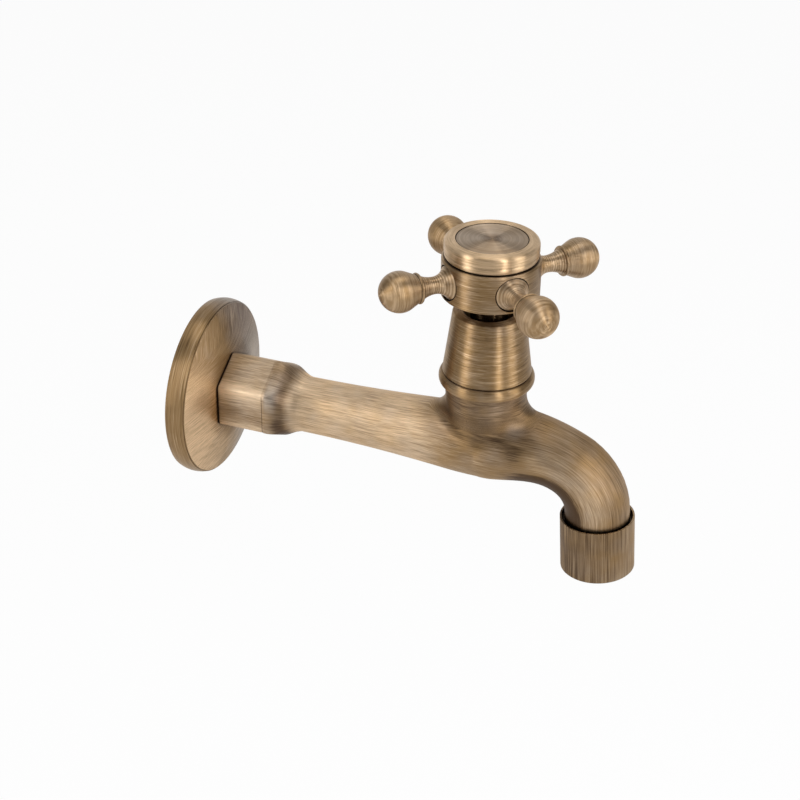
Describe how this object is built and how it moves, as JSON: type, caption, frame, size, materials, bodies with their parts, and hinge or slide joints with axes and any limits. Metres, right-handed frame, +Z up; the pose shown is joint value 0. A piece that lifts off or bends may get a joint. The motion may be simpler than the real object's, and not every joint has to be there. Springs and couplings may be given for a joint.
{
  "type": "wall-mounted cold water tap",
  "caption": "Long wall-mounted bib tap in antique brass, with a hexagon behind a round wall flange, a tapered bonnet, a cross handle with ball ends and a screwed outlet collar.",
  "frame": {"origin": "middle of the inlet where it crosses the wall, halfway along the inlet thread", "axes": "+Z up along the tower of the valve, +Y into the wall along the inlet thread, the pipe runs out along -Y"},
  "size_m": [0.06, 0.1593, 0.1106],
  "materials": {
    "antique_brass": "brushed antique brass",
    "raw_brass": "machined brass",
    "steel": "plain stainless",
    "rubber": "black rubber",
    "white_plastic": "moulded",
    "ceramic": "lapped ceramic"
  },
  "bodies": {
    "tap": {"tap_body": "antique_brass", "wall_flange": "antique_brass", "bonnet_cover": "antique_brass", "aerator_housing": "antique_brass", "cartridge_housing": "raw_brass", "aerator_screen": "steel", "seat_seal": "rubber", "aerator_washer": "rubber", "headwork_washer": "white_plastic", "aerator_insert": "white_plastic", "ceramic_disc_fixed": "ceramic"},
    "handle": {"handle_hub": "antique_brass", "handle_arm_1": "antique_brass", "handle_arm_2": "antique_brass", "handle_arm_3": "antique_brass", "handle_arm_4": "antique_brass", "handle_cap": "antique_brass", "index_disc": "antique_brass", "handle_screw": "steel", "handle_screw_washer": "steel", "spindle": "raw_brass", "spindle_o_ring_lower": "rubber", "spindle_o_ring_upper": "rubber", "spindle_circlip": "steel", "thrust_washer": "white_plastic", "ceramic_disc_rotating": "ceramic"}
  },
  "joints": [
    {"name": "handle_turn", "type": "hinge", "parent": "tap", "child": "handle", "pos_m": [0, -0.1003, 0.0598], "axis": [0, 0, 1], "range_deg": [0, 90]}
  ]
}
